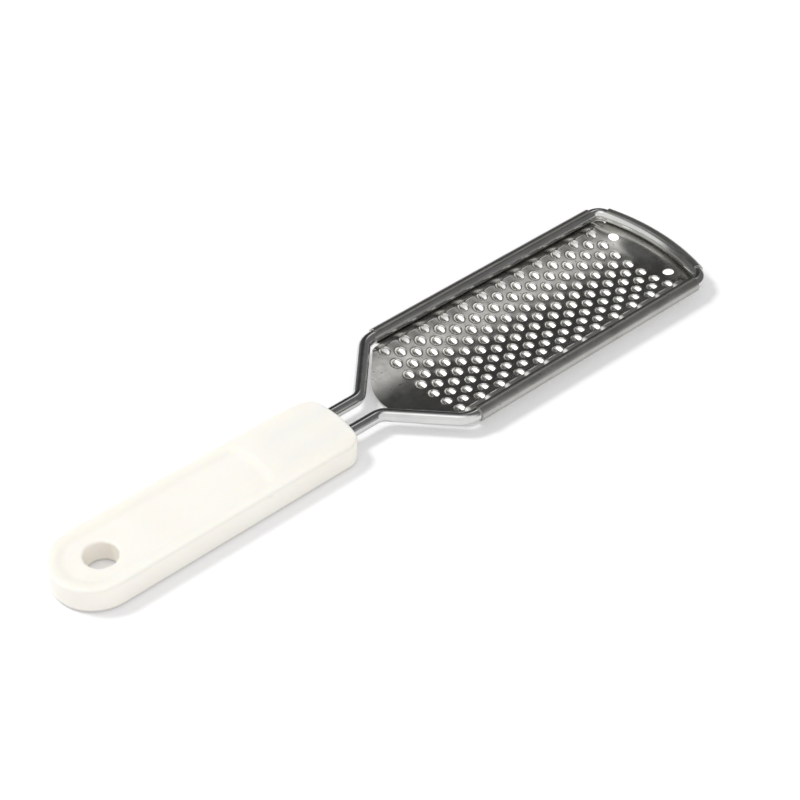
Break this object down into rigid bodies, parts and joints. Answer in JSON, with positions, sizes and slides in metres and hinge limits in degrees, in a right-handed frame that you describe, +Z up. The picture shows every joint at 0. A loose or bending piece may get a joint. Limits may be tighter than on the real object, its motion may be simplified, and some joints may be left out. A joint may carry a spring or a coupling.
{
  "type": "foot rasp",
  "caption": "Flat hand rasp for hard skin: a curved steel plate with raised half-dome teeth, rolled over a bent wire frame that is held in a moulded handle.",
  "frame": {"origin": "under the middle of the whole length, on the surface that the rasp lies on", "axes": "+X along the rasp from the handle to the far end, +Y across it, +Z up, away from the teeth"},
  "size_m": [0.233, 0.0512, 0.0085],
  "materials": {
    "handle": "warm white moulded plastic with a soft satin gloss",
    "wire": "bright plated steel wire",
    "plate": "bright plated sheet steel, smooth, with bright crests"
  },
  "bodies": {
    "root": {"handle": "handle", "wire_frame": "wire", "rasp_plate": "plate"}
  },
  "joints": []
}
